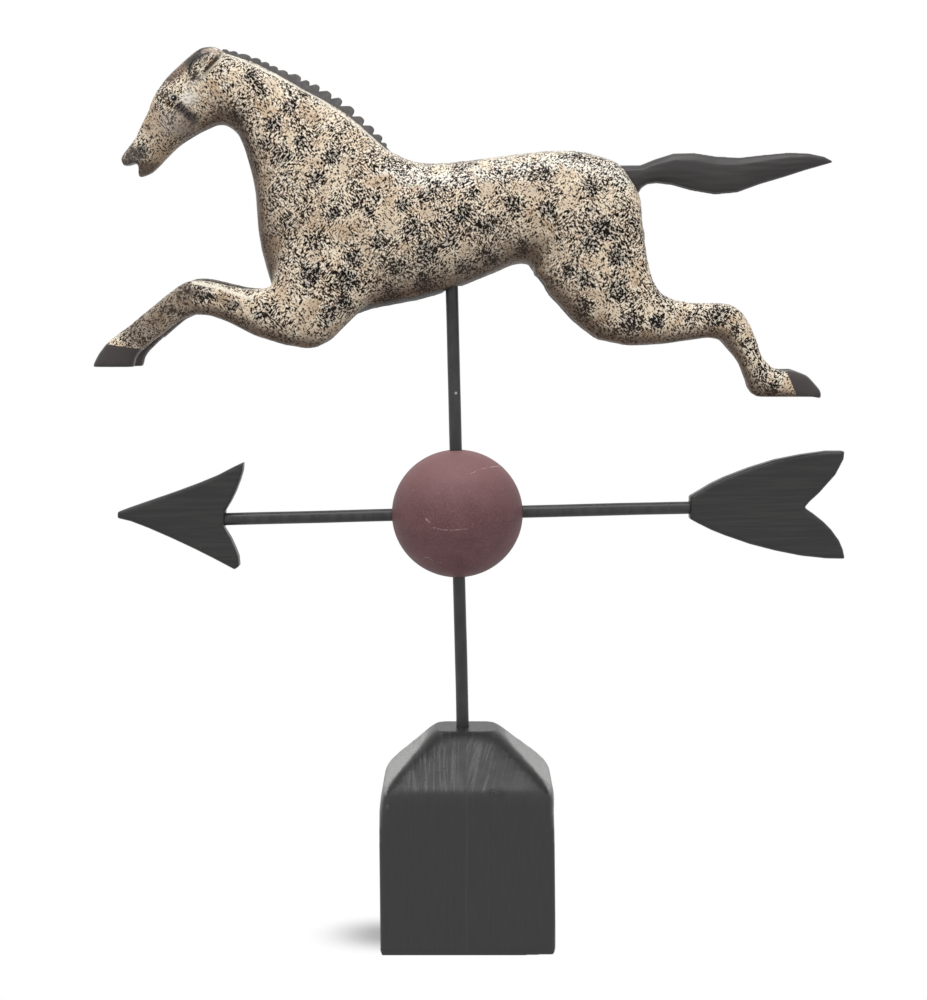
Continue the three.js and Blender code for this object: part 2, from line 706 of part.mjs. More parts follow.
// Everything carved and cut in the plank, then set over the post
const nearSide = leg(hindLegShares).add(leg(foreLegShares)).add(ear);
const carved = trunk.body
  .add(nearSide)
  .add(mirrored(nearSide))
  .subtract(foreCut)
  .subtract(hindCut)
  .subtract(mouthCut)
  .subtract(seatCut)
  .subtract(pegHole)
  .subtract(kerf)
  .subtract(eyeHole)
  .subtract(mirrored(eyeHole));
const postSocket = rodBar(rodRadius + FIT_GAP, belly - OVERRUN, belly + POST_SOCKET_DEPTH);
const horse = piece('horse_body', levelled(carved, 0, belly).subtract(postSocket), dapplePaint);
const mane = piece('mane_strip', levelled(maneBody, 0, belly), maneBlack);
const nearEye = piece('near_eye', levelled(nearEyeBody, 0, belly), eyeBlack);
const farEye = piece('far_eye', levelled(mirrored(nearEyeBody), 0, belly), eyeBlack);

// Tail: a carved blade, flat at its root, pegged to the rump
const tailBlade = limb(tailShares, TAIL_LENGTH, TAIL_DEPTH, TAIL_THICKNESS, {
  sides: TAIL_SIDES,
  steps: LEG_STEPS,
  fullness: tailFullness,
  across: centred,
  domeStart: false,
  domeEnd: true,
}).body
  .translate(tailJoint.clone().addScaledVector(seatNormal, FIT_GAP).toArray())
  .subtract(pegHole);
const tail = piece('horse_tail', levelled(tailBlade, 0, belly), maneBlack);
const tailPeg = piece('tail_peg', levelled(pegBar(pegRadius, 0), 0, belly), bareWood);

// What leans with the rods: the bearing in the block and the whole vane
const leaned = new THREE.Group();
leaned.position.z = boreFloor;
leaned.rotation.y = -SPINDLE_LEAN;
leaned.add(sleeve, thrustBall, spindle, ball, post, arrowShaft, arrowHead, arrowTail);
leaned.add(horse, mane, nearEye, farEye, tail, tailPeg);

const group = new THREE.Group();
group.name = 'horse_weathervane';
group.add(baseLeft, baseRight, leaned);

export default group;
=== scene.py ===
import math

import bmesh
import bpy
from mathutils import Matrix, Vector, noise
from mathutils.bvhtree import BVHTree


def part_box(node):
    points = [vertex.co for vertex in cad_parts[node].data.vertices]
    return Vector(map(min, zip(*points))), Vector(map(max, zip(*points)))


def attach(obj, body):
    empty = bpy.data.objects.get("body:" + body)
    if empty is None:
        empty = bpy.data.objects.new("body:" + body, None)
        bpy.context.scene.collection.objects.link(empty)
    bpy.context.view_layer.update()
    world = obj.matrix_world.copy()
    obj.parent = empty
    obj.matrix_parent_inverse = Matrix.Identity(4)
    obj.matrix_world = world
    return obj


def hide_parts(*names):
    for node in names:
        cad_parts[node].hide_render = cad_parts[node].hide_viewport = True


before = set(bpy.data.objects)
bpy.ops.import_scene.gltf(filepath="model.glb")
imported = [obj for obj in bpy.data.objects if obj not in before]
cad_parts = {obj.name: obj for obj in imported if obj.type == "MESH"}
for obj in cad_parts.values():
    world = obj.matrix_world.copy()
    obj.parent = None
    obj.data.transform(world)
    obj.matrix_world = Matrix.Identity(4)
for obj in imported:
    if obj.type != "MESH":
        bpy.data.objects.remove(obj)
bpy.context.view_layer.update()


# Stand block: two softwood boards glued face to face, their four top edges planed off
# at about 45 degrees to leave a small flat. The corners are rubbed soft, and one long
# hole is bored down the seam for the rod. Black paint lets the boards' rings show.
MM = 0.001
block_half = 43 * MM
shoulder_height = 78.5 * MM
block_height = 106 * MM
flat_half = 15 * MM
bore_radius = 4.375 * MM
bore_floor = 30 * MM
mouth_radius = 3.45 * MM
mouth_depth = 0.95 * MM
lean = math.radians(1.43)
up_the_rod = Matrix.Translation((0, 0, bore_floor)) @ Matrix.Rotation(-lean, 4, "Y")
collection = bpy.context.scene.collection


def colour(red, green, blue):
    """A colour as it is read off a picture, turned into light values"""
    light = []
    for value in (red, green, blue):
        share = value / 255
        light.append(share / 12.92 if share <= 0.04045 else ((share + 0.055) / 1.055) ** 2.4)
    return (*light, 1.0)


def grey(shade):
    """A plain grey as it is read off a picture"""
    return colour(shade, shade, shade)


def new_paint(name, roughness, metallic=0.0, gloss=0.5):
    """A new finish, with its node tree, its surface and its place on the object"""
    paint = bpy.data.materials.new(name)
    paint.use_nodes = True
    tree = paint.node_tree
    surface = tree.nodes["Principled BSDF"]
    surface.inputs["Roughness"].default_value = roughness
    surface.inputs["Metallic"].default_value = metallic
    surface.inputs["Specular IOR Level"].default_value = gloss
    place = tree.nodes.new("ShaderNodeTexCoord")
    return paint, tree, surface, place


def feed(tree, socket, value):
    """Links a socket, or sets it to a plain value"""
    if isinstance(value, bpy.types.NodeSocket):
        tree.links.new(value, socket)
    else:
        socket.default_value = value


def work_out(tree, operation, first, second=0.0, third=0.0):
    """One sum on up to three values"""
    node = tree.nodes.new("ShaderNodeMath")
    node.operation = operation
    for socket, value in zip(node.inputs, (first, second, third)):
        feed(tree, socket, value)
    return node.outputs[0]


def times(tree, first, second):
    """Two values multiplied"""
    return work_out(tree, "MULTIPLY", first, second)


def times_plus(tree, value, factor, rest):
    """A value times a factor, with the rest added"""
    return work_out(tree, "MULTIPLY_ADD", value, factor, rest)


def point_sum(tree, operation, first, second=(0, 0, 0)):
    """One sum on one or two places, or on a place and a number"""
    node = tree.nodes.new("ShaderNodeVectorMath")
    node.operation = operation
    feed(tree, node.inputs[0], first)
    feed(tree, node.inputs["Scale" if operation == "SCALE" else 1], second)
    return node.outputs["Value" if operation in ("DISTANCE", "DOT_PRODUCT") else "Vector"]


def parts_of(tree, place):
    """The X, Y and Z of a place or direction"""
    node = tree.nodes.new("ShaderNodeSeparateXYZ")
    tree.links.new(place, node.inputs[0])
    return node.outputs


def fade(tree, value, start, end):
    """0 at start and 1 at end, eased between them"""
    node = tree.nodes.new("ShaderNodeMapRange")
    node.interpolation_type = "SMOOTHSTEP"
    feed(tree, node.inputs["Value"], value)
    feed(tree, node.inputs["From Min"], start)
    feed(tree, node.inputs["From Max"], end)
    return node.outputs["Result"]


def cloud(tree, place, scale, detail=3.0, turn=(0, 0, 0), distortion=0.0):
    """Cloudy variation that changes so many times a metre along each turned direction"""
    turned = tree.nodes.new("ShaderNodeMapping")
    turned.inputs["Rotation"].default_value = turn
    feed(tree, turned.inputs["Vector"], place)
    scaled = tree.nodes.new("ShaderNodeMapping")
    scaled.inputs["Scale"].default_value = scale
    tree.links.new(turned.outputs[0], scaled.inputs["Vector"])
    node = tree.nodes.new("ShaderNodeTexNoise")
    node.inputs["Scale"].default_value = 1.0
    node.inputs["Detail"].default_value = detail
    node.inputs["Distortion"].default_value = distortion
    tree.links.new(scaled.outputs[0], node.inputs["Vector"])
    return node.outputs[0]


def over(tree, amount, under, upper):
    """One colour laid over another by an amount"""
    node = tree.nodes.new("ShaderNodeMix")
    node.data_type = "RGBA"
    feed(tree, node.inputs[0], amount)
    feed(tree, node.inputs[6], under)
    feed(tree, node.inputs[7], upper)
    return node.outputs[2]


def raise_surface(tree, surface, height, distance, strength=1.0):
    """Relief of the paint and of what lies under it, distance in metres"""
    node = tree.nodes.new("ShaderNodeBump")
    node.inputs["Strength"].default_value = strength
    node.inputs["Distance"].default_value = distance
    tree.links.new(height, node.inputs["Height"])
    tree.links.new(node.outputs[0], surface.inputs["Normal"])


def near_to(tree, place, point, reach, softness=0.4):
    """1 at a point and 0 past its reach, both in mm"""
    distance = point_sum(tree, "DISTANCE", place, tuple(Vector(point) * MM))
    return fade(tree, distance, reach * MM, reach * MM * (1 - softness))


def line_between(tree, spot, start, end, width):
    """A thin line from one point to another"""
    run = Vector(end) - Vector(start)
    offset = point_sum(tree, "SUBTRACT", spot, tuple(start))
    along = point_sum(tree, "DOT_PRODUCT", offset, tuple(run))
    share = work_out(tree, "DIVIDE", along, run.length_squared)
    share = work_out(tree, "MINIMUM", work_out(tree, "MAXIMUM", share, 0.0), 1.0)
    nearest = point_sum(tree, "SCALE", tuple(run), share)
    return fade(tree, point_sum(tree, "DISTANCE", offset, nearest), width, width * 0.2)


def line_through(tree, spot, width, points):
    """A thin line through several points, its width in mm"""
    whole = None
    for start, end in zip(points, points[1:]):
        part = line_between(tree, spot, start, end, width * MM)
        whole = part if whole is None else work_out(tree, "MAXIMUM", whole, part)
    return whole


def make_piece(name, shape, paint, body, node):
    """A finished shape becomes a painted piece on its body and stands for its node"""
    mesh = bpy.data.meshes.new(name)
    shape.to_mesh(mesh)
    shape.free()
    mesh.materials.append(paint)
    mesh.shade_smooth()
    piece = bpy.data.objects.new(name, mesh)
    collection.objects.link(piece)
    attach(piece, body)
    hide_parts(node)
    return piece


def worked(shape, set_up):
    """The shape after one modifier has worked on it"""
    rough = bpy.data.meshes.new("rough")
    shape.to_mesh(rough)
    shape.free()
    blank = bpy.data.objects.new("blank", rough)
    collection.objects.link(blank)
    set_up(blank)
    bpy.context.view_layer.update()
    ready = blank.evaluated_get(bpy.context.evaluated_depsgraph_get())
    result = bmesh.new()
    result.from_mesh(ready.to_mesh())
    ready.to_mesh_clear()
    bpy.data.objects.remove(blank)
    bpy.data.meshes.remove(rough)
    return result


def fine_grid(shape, size):
    """The same solid in a fine even grid, ready for rubbing"""
    def set_up(blank):
        grid = blank.modifiers.new("grid", "REMESH")
        grid.mode = "VOXEL"
        grid.voxel_size = size

    return worked(shape, set_up)


def rub(shape, passes, chosen=None):
    """Eases edges and hollows as sandpaper does"""
    verts = chosen if chosen is not None else shape.verts
    for _ in range(passes):
        bmesh.ops.smooth_vert(shape, verts=verts, factor=0.5,
                              use_axis_x=True, use_axis_y=True, use_axis_z=True)


def bored(shape, cutter):
    """The shape with a cutter's space taken out of it"""
    bit_mesh = bpy.data.meshes.new("bit")
    cutter.to_mesh(bit_mesh)
    cutter.free()
    bit = bpy.data.objects.new("bit", bit_mesh)
    collection.objects.link(bit)

    def set_up(blank):
        cut = blank.modifiers.new("bore", "BOOLEAN")
        cut.operation = "DIFFERENCE"
        cut.solver = "EXACT"
        cut.object = bit

    result = worked(shape, set_up)
    bpy.data.objects.remove(bit)
    bpy.data.meshes.remove(bit_mesh)
    return result


def round_bar(radius, length, sides, place):
    """A plain round bar that starts at its place and runs up its Z"""
    bar = bmesh.new()
    middle = Matrix.Translation((0, 0, length / 2))
    bmesh.ops.create_cone(bar, cap_ends=True, segments=sides, radius1=radius, radius2=radius,
                          depth=length, matrix=place @ middle)
    return bar


def board_paint(name, turn, rings_from, rings_to, blots):
    """Black paint over one board, with its rings showing on the planed faces"""
    paint, tree, surface, place = new_paint(name, 0.4, gloss=0.45)
    spot = place.outputs["Object"]
    across = parts_of(tree, spot)[0]
    facing = parts_of(tree, place.outputs["Normal"])
    planed = fade(tree, facing[2], 0.40, 0.66)
    level = fade(tree, facing[2], 0.75, 0.95)
    brush = cloud(tree, spot, (700, 700, 70), detail=4.0)
    fuzz = cloud(tree, spot, (1100, 1100, 1100), detail=2.0)
    mottle = cloud(tree, spot, (140, 140, 140), detail=3.0)

    # Rings, clearest in one zone of the slopes
    rings = cloud(tree, spot, (760, 45, 45), detail=1.0, turn=turn, distortion=0.5)
    zone = times(tree, fade(tree, across, (rings_from - 4) * MM, (rings_from + 3) * MM),
                 fade(tree, across, (rings_to + 4) * MM, (rings_to - 4) * MM))
    zone = times(tree, zone, work_out(tree, "SUBTRACT", 1.0, level))
    streaks = times(tree, fade(tree, rings, 0.44, 0.64), planed)
    streaks = times(tree, streaks, times_plus(tree, zone, 0.8, 0.2))

    # The coat: a pale seam, slopes painted paler as a painted highlight, the left and right ones
    # most as a painted sheen, a flat painted darker as painted shade
    seam = fade(tree, work_out(tree, "ABSOLUTE", across), 0.8 * MM, 0.2 * MM)
    coat = over(tree, fade(tree, brush, 0.3, 0.75), grey(41), grey(46))
    coat = over(tree, times(tree, seam, 0.12), coat, grey(84))
    # Painted highlight: the slopes, which face up, are painted paler in mottled patches
    slope_highlight = times_plus(tree, fade(tree, mottle, 0.35, 0.65), 0.2, 0.1)
    coat = over(tree, times(tree, planed, slope_highlight), coat, grey(84))
    # Painted shade: the level flat is painted darker
    coat = over(tree, times(tree, level, 0.8), coat, grey(36))
    # Painted sheen: the left and right slopes are painted much paler, in streaks
    side_sheen = fade(tree, work_out(tree, "ABSOLUTE", facing[0]), 0.50, 0.72)
    side_sheen = times(tree, times(tree, planed, side_sheen), times_plus(tree, brush, 0.8, 0.4))
    coat = over(tree, side_sheen, coat, colour(166, 166, 164))
    coat = over(tree, times(tree, streaks, 0.5), coat, grey(108))
    coat = over(tree, times(tree, planed, fade(tree, fuzz, 0.52, 0.70)), coat, grey(52))

    # A dark line down each hip, drawn once on a place that is folded into an eighth
    quarter = parts_of(tree, point_sum(tree, "ABSOLUTE", spot))
    folded = tree.nodes.new("ShaderNodeCombineXYZ")
    feed(tree, folded.inputs[0], work_out(tree, "MAXIMUM", quarter[0], quarter[1]))
    feed(tree, folded.inputs[1], work_out(tree, "MINIMUM", quarter[0], quarter[1]))
    feed(tree, folded.inputs[2], quarter[2])
    hip = [Vector(point) * MM for point in (
        (42.5, 42.5, 79), (32, 31, 90), (24, 22, 98),
        (20, 16, 101.5), (18, 9, 103.5), (17, 0, 104))]
    hip_line = work_out(tree, "MAXIMUM", line_through(tree, folded.outputs[0], 3.2, hip),
                        line_through(tree, folded.outputs[0], 5.0, hip[3:]))
    coat = over(tree, times(tree, hip_line, 0.75), coat, grey(42))
    for point, reach, shade in blots:
        blot = near_to(tree, spot, point, reach, softness=0.85)
        coat = over(tree, times(tree, blot, fade(tree, fuzz, 0.36, 0.56)), coat, grey(shade))
    tree.links.new(coat, surface.inputs["Base Color"])

    height = times_plus(tree, streaks, 0.5, times(tree, fuzz, 0.6))
    raise_surface(tree, surface, times_plus(tree, brush, 0.3, height), 0.12 * MM, 0.7)
    tree.links.new(times_plus(tree, brush, 0.12, 0.29), surface.inputs["Roughness"])
    tree.links.new(times_plus(tree, planed, -0.27, 0.45), surface.inputs["Specular IOR Level"])
    return paint


spare_height = 1.9 * MM
spare_slope = 1.4 * MM
sawn_height = block_height + spare_height
block = bmesh.new()
bmesh.ops.create_cube(block, size=1)
bmesh.ops.scale(block, vec=(2 * block_half, 2 * block_half, sawn_height), verts=block.verts)
bmesh.ops.translate(block, vec=(0, 0, sawn_height / 2), verts=block.verts)
fall = block_height - shoulder_height
run = block_half - flat_half
for quarter in range(4):
    about = Matrix.Rotation(quarter * math.pi / 2, 3, "Z")
    bmesh.ops.bisect_plane(
        block, geom=block.verts[:] + block.edges[:] + block.faces[:],
        plane_co=about @ Vector((block_half, 0, shoulder_height + spare_slope)),
        plane_no=about @ Vector((fall, 0, run)), clear_outer=True)
    bmesh.ops.holes_fill(block, edges=block.edges, sides=0)
block = fine_grid(block, 1.5 * MM)

# Rubbing: all but the foot, then the foot's right corner, then more and more towards
# the top, then the four shoulder corners
rub(block, 2, [corner for corner in block.verts if corner.co.z > 3 * MM])
for below, beside, passes in ((14, 28, 2), (9, 34, 3)):
    rub(block, passes, [corner for corner in block.verts
                        if corner.co.z < below * MM and corner.co.x > beside * MM])
for above, passes in ((56, 3), (61, 4), (66, 5), (70, 9), (90, 12), (95, 16)):
    rub(block, passes, [corner for corner in block.verts if corner.co.z > above * MM])
for side_x in (-1, 1):
    for side_y in (-1, 1):
        shoulder = Vector((side_x * block_half, side_y * block_half, shoulder_height))
        for reach in (16, 12):
            rub(block, 12, [corner for corner in block.verts
                            if (corner.co - shoulder).length < reach * MM])

# The hand-planed block leans and bulges a little, and its flat is planed last
foot_lean = 0.8 * MM
bulge = 0.35 * MM
right_swell = 1.0 * MM
left_hollow = 0.9 * MM
slope_foot = 70 * MM
for corner in block.verts:
    up = min(1.0, max(0.0, (corner.co.z - slope_foot) / (block_height - slope_foot)))
    side = corner.co.x / block_half
    corner.co.x += foot_lean * (1 - corner.co.z / shoulder_height) + side * bulge
    swell = right_swell * max(0.0, side) - left_hollow * min(0.0, side)
    corner.co.x += math.sin(up * math.pi) * swell
    corner.co.z = min(corner.co.z, block_height)

bore_length = (block_height - bore_floor) / math.cos(lean)
block = bored(block, round_bar(bore_radius, bore_length - mouth_depth, 48, up_the_rod))
block = bored(block, round_bar(mouth_radius, bore_length + 5 * MM, 48, up_the_rod))
right_half = block.copy()
for half, side in ((block, 1), (right_half, -1)):
    bmesh.ops.bisect_plane(half, geom=half.verts[:] + half.edges[:] + half.faces[:],
                           plane_co=(0, 0, 0), plane_no=(side, 0, 0), clear_outer=True)
    bmesh.ops.holes_fill(half, edges=[edge for edge in half.edges if edge.is_boundary], sides=0)
    bmesh.ops.triangulate(half, faces=[face for face in half.faces if len(face.verts) > 4])
straight_board = board_paint("straight_board_paint", (0, 0, 0), -29, -4, (
    ((-9.4, -26.4, 94.8), 1.0, 18), ((-39.6, -43, 73.8), 2.2, 105)))
slanted_board = board_paint("slanted_board_paint", (0, math.radians(-20), 0), 1, 12, (
    ((14.7, -35.5, 85.9), 1.0, 14), ((12.5, -41, 80.5), 4, 24), ((17, -41, 80), 4, 24)))
for piece_name, half, paint, node in (
        ("left_board", block, straight_board, "base_block_left"),
        ("right_board", right_half, slanted_board, "base_block_right")):
    board = make_piece(piece_name, half, paint, "base", node)
    board.data.set_sharp_from_angle(angle=math.radians(50))


# Bearing: a drawn brass sleeve pressed into the bore and a steel ball at its foot, on
# which the rod's end turns. Both are hidden in the block.
brass, tree, surface, place = new_paint("drawn_brass", 0.3, metallic=1.0)
drawn = cloud(tree, place.outputs["Object"], (1500, 1500, 30), detail=2.0)
brass_tone = over(tree, drawn, colour(170, 128, 58), colour(205, 168, 92))
tree.links.new(brass_tone, surface.inputs["Base Color"])
raise_surface(tree, surface, drawn, 0.03 * MM)
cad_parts["spindle_sleeve"].data.materials[0] = brass

steel, tree, surface, place = new_paint("bearing_steel", 0.22, metallic=1.0)
film = cloud(tree, place.outputs["Object"], (500, 500, 500), detail=3.0)
steel_tone = over(tree, film, colour(150, 152, 156), colour(196, 198, 202))
tree.links.new(steel_tone, surface.inputs["Base Color"])
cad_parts["thrust_ball"].data.materials[0] = steel


# Lower rod: round steel, cut to length with its ends eased, brushed with black paint.
# It turns in the block and is driven into a blind socket in the ball.
rod_radius = 3.175 * MM
rod_gap = 0.3 * MM
spindle_foot = 6.6 * MM
ball_low = bore_length + 76.5 * MM
ball_height = 65.1 * MM
socket_depth = ball_height / 2 - rod_radius - rod_gap - 5 * MM
spindle_top = ball_low + socket_depth - rod_gap
noise.seed_set(11)


def painted_rod(length, place):
    """A round rod with eased ends and the slight waver of a hand-straightened bar"""
    rod = round_bar(rod_radius, length, 40, Matrix.Identity(4))
    long_edges = [edge for edge in rod.edges
                  if abs(edge.verts[0].co.z - edge.verts[1].co.z) > MM]
    ring_step = 4 * MM
    bmesh.ops.subdivide_edges(rod, edges=long_edges, cuts=int(length / ring_step),
                              use_grid_fill=False)
    ends = [edge for edge in rod.edges if edge.calc_face_angle(0) > math.radians(60)]
    bmesh.ops.bevel(rod, geom=ends, offset=0.5 * MM, offset_type="OFFSET", segments=3,
                    profile=0.5, affect="EDGES", material=-1)
    own = length * 50
    for corner in rod.verts:
        waver = noise.noise_vector(Vector((own, 0, corner.co.z * 28)))
        swell = 1 + 0.018 * noise.noise(Vector((7, own, corner.co.z * 45)))
        corner.co.x = corner.co.x * swell + waver.x * 0.12 * MM
        corner.co.y = corner.co.y * swell + waver.y * 0.12 * MM
    bmesh.ops.transform(rod, matrix=place, verts=rod.verts)
    return rod


rod_paint, tree, surface, place = new_paint("black_rod_paint", 0.4, gloss=0.36)
spot = place.outputs["Object"]
coat = cloud(tree, spot, (260, 260, 90), detail=5.0)
fine = cloud(tree, spot, (1400, 1400, 700), detail=3.0)
chips = fade(tree, cloud(tree, spot, (330, 330, 330), detail=4.0), 0.765, 0.785)
chips = work_out(tree, "MAXIMUM", chips, near_to(tree, spot, (-5.3, -3.1, 276.5), 0.9))
coated = over(tree, fade(tree, coat, 0.3, 0.7), colour(50, 50, 51), grey(65))
coated = over(tree, chips, coated, colour(176, 172, 166))
tree.links.new(coated, surface.inputs["Base Color"])
rod_height = work_out(tree, "SUBTRACT", times_plus(tree, fine, 0.3, coat), chips)
raise_surface(tree, surface, rod_height, 0.12 * MM, 0.7)
tree.links.new(times_plus(tree, coat, 0.25, 0.27), surface.inputs["Roughness"])

foot = up_the_rod @ Matrix.Translation((0, 0, spindle_foot))
spindle = painted_rod(spindle_top - spindle_foot, foot)
make_piece("lower_rod", spindle, rod_paint, "vane", "spindle")


# Ball: turned from one block of wood, a little flat, with a blind socket for each upright
# rod and a hole right through for the arrow's rod. Matte maroon paint over fine lathe
# lines, with a few pale scratches and chips on its front, and its top painted paler as painted
# light.
ball_width = 66.8 * MM
ball_middle = ball_low + ball_height / 2
ball_centre = up_the_rod @ Vector((0, 0, ball_middle))
hole_radius = rod_radius + rod_gap
socket_end = ball_height / 2 - socket_depth
ball = bmesh.new()
bmesh.ops.create_circle(ball, cap_ends=False, segments=128, radius=0.5)
bmesh.ops.rotate(ball, cent=(0, 0, 0), matrix=Matrix.Rotation(math.pi / 2, 3, "X"),
                 verts=ball.verts)
bmesh.ops.scale(ball, vec=(ball_width, 1, ball_height), verts=ball.verts)
bmesh.ops.delete(ball, geom=[corner for corner in ball.verts if corner.co.x < hole_radius],
                 context="VERTS")
for rim in [corner for corner in ball.verts if len(corner.link_edges) == 1]:
    towards = 1 if rim.co.z > 0 else -1
    last = rim
    for x, z in ((hole_radius, abs(rim.co.z) - 0.15 * MM),
                 (hole_radius, socket_end), (0, socket_end)):
        step = ball.verts.new((x, 0, z * towards))
        ball.edges.new((last, step))
        last = step
bmesh.ops.spin(ball, geom=ball.verts[:] + ball.edges[:], cent=(0, 0, 0), axis=(0, 0, 1),
               angle=2 * math.pi, steps=128, use_merge=True)
bmesh.ops.remove_doubles(ball, verts=ball.verts, dist=0.001 * MM)
bmesh.ops.recalc_face_normals(ball, faces=ball.faces)
across = Matrix.Translation((-ball_width, 0, 0)) @ Matrix.Rotation(math.pi / 2, 4, "Y")
ball = bored(ball, round_bar(hole_radius, 2 * ball_width, 48, across))
bmesh.ops.transform(ball, matrix=up_the_rod @ Matrix.Translation((0, 0, ball_middle)),
                    verts=ball.verts)

maroon, tree, surface, place = new_paint("matte_maroon_paint", 0.6, gloss=0.3)
spot = place.outputs["Object"]
lathe = cloud(tree, spot, (12, 12, 1900), detail=2.0, turn=(0, lean, 0))
mottle = cloud(tree, spot, (120, 120, 120), detail=5.0)
grain = cloud(tree, spot, (1100, 1100, 1100), detail=2.0)
front_view = Vector((-1.5, -1140, 310)) * MM


def on_ball(right, up):
    """The point on the ball's front that is seen so many mm right of and above its centre"""
    start = ball_centre + Vector((right, 0, up)) * MM
    towards = (front_view - start).normalized()
    part = (start - ball_centre).dot(towards)
    root = part * part - (start - ball_centre).length_squared + (ball_width / 2) ** 2
    return start + towards * (math.sqrt(max(0.0, root)) - part)


marks = None
for width, strength, *points in (
        (0.5, 0.8, (6.5, 20.1), (11.2, 22.6), (16.3, 23.7), (22.6, 24.0)),
        (0.42, 0.5, (-12.2, -7.3), (-8.2, -8.3), (-3.6, -8.6), (0.5, -8.4), (4.8, -7.9)),
        (0.6, 0.7, (-15.9, -2.9), (-14.2, -4.6)),
        (0.6, 0.8, (-17.2, -22.6), (-14.3, -22.9), (-12.6, -24.6)),
        (0.6, 0.9, (-10.6, -25.2), (-8.0, -25.8)),
        (0.5, 0.5, (7.5, -5.3), (7.9, -5.3)),
        (0.5, 0.5, (-22.9, 12.0), (-22.7, 12.0))):
    line = line_through(tree, spot, width, [on_ball(*point) for point in points])
    line = times(tree, line, strength)
    marks = line if marks is None else work_out(tree, "MAXIMUM", marks, line)
broken = times(tree, marks, fade(tree, grain, 0.34, 0.55))
# Painted light: the ball is painted paler the more it faces up
lit_ball_top = fade(tree, parts_of(tree, place.outputs["Normal"])[2], 0.05, 0.95)
tone = over(tree, fade(tree, mottle, 0.3, 0.7), colour(104, 71, 74), colour(114, 79, 82))
tone = over(tree, times(tree, lit_ball_top, 0.75), tone, colour(142, 103, 104))
lined = times(tree, fade(tree, lathe, 0.42, 0.72), 0.10)
tone = over(tree, lined, tone, colour(140, 104, 105))
speckled = times(tree, fade(tree, grain, 0.45, 0.7), 0.25)
tone = over(tree, speckled, tone, colour(150, 116, 116))
tone = over(tree, times(tree, broken, 0.8), tone, colour(212, 188, 184))
tree.links.new(tone, surface.inputs["Base Color"])
relief = times_plus(tree, grain, 0.5, times(tree, lathe, 0.5))
raise_surface(tree, surface, work_out(tree, "SUBTRACT", relief, broken), 0.08 * MM, 0.7)
turned = make_piece("turned_ball", ball, maroon, "vane", "ball")
turned.data.set_sharp_from_angle(angle=math.radians(40))


# Arrow: a black rod through the ball, with a head and a tail sawn from thin board. The
# boards' edges are rounded over by hand, and each is bored for the rod. Their grain runs
# along the arrow and shows through the black paint.
arrow_reach = 118 * MM
rod_end = arrow_reach + 24.7 * MM
start = up_the_rod @ Matrix.Translation((-rod_end, 0, ball_middle))
along = start @ Matrix.Rotation(math.pi / 2, 4, "Y")
make_piece("arrow_rod", painted_rod(2 * rod_end, along), rod_paint,
           "vane", "arrow_shaft")


def copied(node, size):
    """A node's own solid in a fine even grid"""
    solid = bmesh.new()
    solid.from_mesh(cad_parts[node].data)
    bmesh.ops.remove_doubles(solid, verts=solid.verts, dist=0.001 * MM)
    return fine_grid(solid, size)


board_black, tree, surface, place = new_paint("black_board_paint", 0.42, gloss=0.4)
spot = place.outputs["Object"]
board_grain = cloud(tree, spot, (34, 300, 620), detail=4.0, turn=(0, lean, 0), distortion=0.3)
board_fine = cloud(tree, spot, (1200, 1200, 1200), detail=2.0)
nicks = fade(tree, cloud(tree, spot, (280, 280, 280), detail=4.0), 0.75, 0.775)
grained = over(tree, fade(tree, board_grain, 0.35, 0.7), grey(37), colour(50, 50, 49))
grained = over(tree, nicks, grained, colour(150, 147, 142))
tree.links.new(grained, surface.inputs["Base Color"])
board_height = times_plus(tree, board_fine, 0.15, board_grain)
raise_surface(tree, surface, work_out(tree, "SUBTRACT", board_height, nicks), 0.15 * MM, 0.7)
tree.links.new(times_plus(tree, board_grain, 0.2, 0.3), surface.inputs["Roughness"])
for piece_name, node in (("arrow_head_board", "arrow_head"), ("arrow_tail_board", "arrow_tail")):
    sawn = copied(node, 0.5 * MM)
    rub(sawn, 3)
    make_piece(piece_name, sawn, board_black, "vane", node)


# Upper rod: the same round steel, cut, eased and painted black like the lower rod. It is
# driven into a blind socket in the ball and one in the horse's belly.
ball_high = ball_low + ball_height
belly = ball_high + 82 * MM
post_foot = ball_high - socket_depth + rod_gap
post_top = belly + 27.7 * MM
post = painted_rod(post_top - post_foot, up_the_rod @ Matrix.Translation((0, 0, post_foot)))
make_piece("upper_rod", post, rod_paint, "vane", "horse_post")


# Horse: sawn and carved from one plank and rounded with rasp and sandpaper, legs in
# pairs with a saw's width between them. Cream paint, a tan glaze with painted shade
# underneath, painted light on the top and a painted highlight along the back, and black
# and grey brown flecks dabbed close together in spots. The hooves are black.
horse = copied("horse_body", 1.25 * MM)


def on_the_head(face):
    """Faces of the head, which gets a finer grid than the rest"""
    middle = face.calc_center_median()
    return middle.x < -108 * MM and middle.z > 392 * MM


head_edges = [edge for edge in horse.edges if any(on_the_head(face) for face in edge.link_faces)]
bmesh.ops.subdivide_edges(horse, edges=head_edges, cuts=1, use_grid_fill=True)
bmesh.ops.triangulate(horse, faces=[face for face in horse.faces if len(face.verts) > 4])


def is_crisp(corner):
    """Hooves, lips and ears, which keep their edges"""
    x, z = corner.co.x / MM, corner.co.z / MM
    hooves = (x < -155 and z < 312) or (x > 146 and z < 300)
    lips = x < -160 and z > 385
    ears = x < -112 and z > 430
    return hooves or lips or ears


rub(horse, 2)
soft = [corner for corner in horse.verts if not is_crisp(corner)]
rub(horse, 5, soft)
horse.normal_update()
lost_in_rubbing = 0.4 * MM
for corner in soft:
    corner.co += corner.normal * lost_in_rubbing

# The corner where belly and thigh meet is rubbed more than the rest
groin = Vector((36, 0, 338.5)) * MM
rub(horse, 16, [corner for corner in horse.verts
                if math.hypot(corner.co.x - groin.x, corner.co.z - groin.z) < 10 * MM])
rub(horse, 1)

